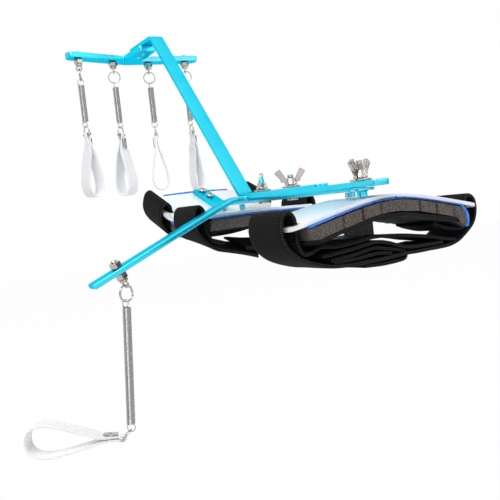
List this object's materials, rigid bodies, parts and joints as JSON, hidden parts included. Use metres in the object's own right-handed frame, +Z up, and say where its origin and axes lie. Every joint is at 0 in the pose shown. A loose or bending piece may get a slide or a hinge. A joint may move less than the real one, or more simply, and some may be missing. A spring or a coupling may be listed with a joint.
{
  "type": "dynamic finger extension splint",
  "caption": "Right-hand dynamic wrist and finger splint: padded forearm and hand shells with straps, blue metal outrigger bars with wing nuts, springs and white finger loops",
  "frame": {"origin": "under the forearm pad, at the crown of its arch, where it rests on the forearm", "axes": "+Y towards the fingers, +X towards the little finger, +Z up from the back of the hand"},
  "size_m": [0.2434, 0.3461, 0.2932],
  "materials": {
    "anodised": "satin blue anodised",
    "shell": "glossy white thermoplastic",
    "cover": "blue brushed loop fabric",
    "foam": "dark grey open-cell foam with raw cut edges and a black lining",
    "webbing": "black ribbed elastic webbing",
    "steel": "bright plated steel",
    "loop_leather": "smooth white synthetic leather"
  },
  "bodies": {
    "brace": {"cuff_shell": "shell", "cuff_cover": "cover", "cuff_foam": "foam", "hand_shell": "shell", "hand_cover": "cover", "hand_foam": "foam", "forearm_strap": "webbing", "wrist_strap": "webbing", "hand_strap": "webbing", "base_bracket": "anodised", "tab_screw_rear": "steel", "tab_screw_front": "steel", "hand_spacer": "anodised", "cuff_spacer": "anodised", "cuff_boss": "anodised", "clamp_bolt_1": "steel", "clamp_bolt_2": "steel", "clamp_bolt_3": "steel", "washer_1": "steel", "washer_2": "steel", "washer_3": "steel"},
    "outrigger": {"arm": "anodised", "finger_bar": "anodised", "bar_screw_rear": "steel", "bar_screw_front": "steel", "eye_bolt_index": "steel", "eye_bolt_middle": "steel", "eye_bolt_ring": "steel", "eye_bolt_little": "steel"},
    "thumb_outrigger": {"thumb_bar": "anodised", "eye_bolt_thumb": "steel", "top_nut_thumb": "steel"},
    "wing_1": {"wing_nut_1": "steel"},
    "wing_2": {"wing_nut_2": "steel"},
    "wing_3": {"wing_nut_3": "steel"},
    "strand_index": {"ring_index": "steel", "spring_index": "steel"},
    "link_index": {"shackle_index": "steel"},
    "sling_index": {"loop_index": "loop_leather", "clip_index": "steel"},
    "strand_middle": {"ring_middle": "steel", "spring_middle": "steel"},
    "link_middle": {"shackle_middle": "steel"},
    "sling_middle": {"loop_middle": "loop_leather", "clip_middle": "steel"},
    "strand_ring": {"ring_ring": "steel", "spring_ring": "steel"},
    "link_ring": {"shackle_ring": "steel"},
    "sling_ring": {"loop_ring": "loop_leather", "clip_ring": "steel"},
    "strand_little": {"ring_little": "steel", "spring_little": "steel"},
    "link_little": {"shackle_little": "steel"},
    "sling_little": {"loop_little": "loop_leather", "clip_little": "steel"},
    "strand_thumb": {"ring_thumb": "steel", "spring_thumb": "steel"},
    "link_thumb": {"shackle_thumb": "steel"},
    "sling_thumb": {"loop_thumb": "loop_leather", "clip_thumb": "steel"}
  },
  "joints": [
    {"name": "arm_slide", "type": "slide", "parent": "brace", "child": "outrigger", "axis": [0, 1, 0], "range_m": [-0.0075, 0.022]},
    {"name": "thumb_swivel", "type": "hinge", "parent": "brace", "child": "thumb_outrigger", "pos_m": [-0.0115, -0.0104, 0.0177], "axis": [0, 0, 1], "range_deg": [0, 25]},
    {"name": "wing_nut_1_turn", "type": "hinge", "parent": "brace", "child": "wing_1", "pos_m": [0, 0.1087, 0.023], "axis": [0, 0, 1], "continuous": true},
    {"name": "wing_nut_2_turn", "type": "hinge", "parent": "brace", "child": "wing_2", "pos_m": [0, 0.0731, 0.023], "axis": [0, 0, 1], "continuous": true},
    {"name": "wing_nut_3_turn", "type": "hinge", "parent": "brace", "child": "wing_3", "pos_m": [-0.0115, -0.0104, 0.023], "axis": [0, 0, 1], "continuous": true},
    {"name": "swing_index", "type": "hinge", "parent": "outrigger", "child": "strand_index", "pos_m": [-0.05127, 0.30122, 0.1455], "axis": [1, 0, 0], "range_deg": [-30, 30]},
    {"name": "stretch_index", "type": "slide", "parent": "strand_index", "child": "link_index", "axis": [0, 0, -1], "range_m": [0, 0.02], "stiffness_N_per_m": 60, "springref_m": -0.006, "deforming": ["spring_index"]},
    {"name": "sling_turn_index", "type": "hinge", "parent": "link_index", "child": "sling_index", "pos_m": [-0.05127, 0.30122, 0.089], "axis": [-0.225, 0.9744, 0], "range_deg": [-18, 40]},
    {"name": "swing_middle", "type": "hinge", "parent": "outrigger", "child": "strand_middle", "pos_m": [-0.01728, 0.30781, 0.14456], "axis": [1, 0, 0], "range_deg": [-30, 30]},
    {"name": "stretch_middle", "type": "slide", "parent": "strand_middle", "child": "link_middle", "axis": [0, 0, -1], "range_m": [0, 0.02], "stiffness_N_per_m": 60, "springref_m": -0.006, "deforming": ["spring_middle"]},
    {"name": "sling_turn_middle", "type": "hinge", "parent": "link_middle", "child": "sling_middle", "pos_m": [-0.01728, 0.30781, 0.08806], "axis": [0.8387, 0.5446, 0], "range_deg": [-40, 40]},
    {"name": "swing_ring", "type": "hinge", "parent": "outrigger", "child": "strand_ring", "pos_m": [0.01671, 0.30779, 0.14379], "axis": [1, 0, 0], "range_deg": [-30, 30]},
    {"name": "stretch_ring", "type": "slide", "parent": "strand_ring", "child": "link_ring", "axis": [0, 0, -1], "range_m": [0, 0.02], "stiffness_N_per_m": 60, "springref_m": -0.006, "deforming": ["spring_ring"]},
    {"name": "sling_turn_ring", "type": "hinge", "parent": "link_ring", "child": "sling_ring", "pos_m": [0.01671, 0.30779, 0.08729], "axis": [0.3746, 0.9272, 0], "range_deg": [-18, 25]},
    {"name": "swing_little", "type": "hinge", "parent": "outrigger", "child": "strand_little", "pos_m": [0.05071, 0.30116, 0.14319], "axis": [1, 0, 0], "range_deg": [-30, 30]},
    {"name": "stretch_little", "type": "slide", "parent": "strand_little", "child": "link_little", "axis": [0, 0, -1], "range_m": [0, 0.02], "stiffness_N_per_m": 60, "springref_m": -0.006, "deforming": ["spring_little"]},
    {"name": "sling_turn_little", "type": "hinge", "parent": "link_little", "child": "sling_little", "pos_m": [0.05071, 0.30116, 0.08669], "axis": [0.0349, 0.9994, 0], "range_deg": [-40, 15]},
    {"name": "swing_thumb", "type": "hinge", "parent": "thumb_outrigger", "child": "strand_thumb", "pos_m": [-0.10692, 0.1075, -0.02746], "axis": [-0.848, 0.5299, 0], "range_deg": [-28, 8]},
    {"name": "stretch_thumb", "type": "slide", "parent": "strand_thumb", "child": "link_thumb", "axis": [0, 0, -1], "range_m": [0, 0.03], "stiffness_N_per_m": 40, "springref_m": -0.006, "deforming": ["spring_thumb"]},
    {"name": "sling_turn_thumb", "type": "hinge", "parent": "link_thumb", "child": "sling_thumb", "pos_m": [-0.11796, 0.11439, -0.12267], "axis": [0.5299, 0.848, 0], "range_deg": [-40, 40]}
  ]
}
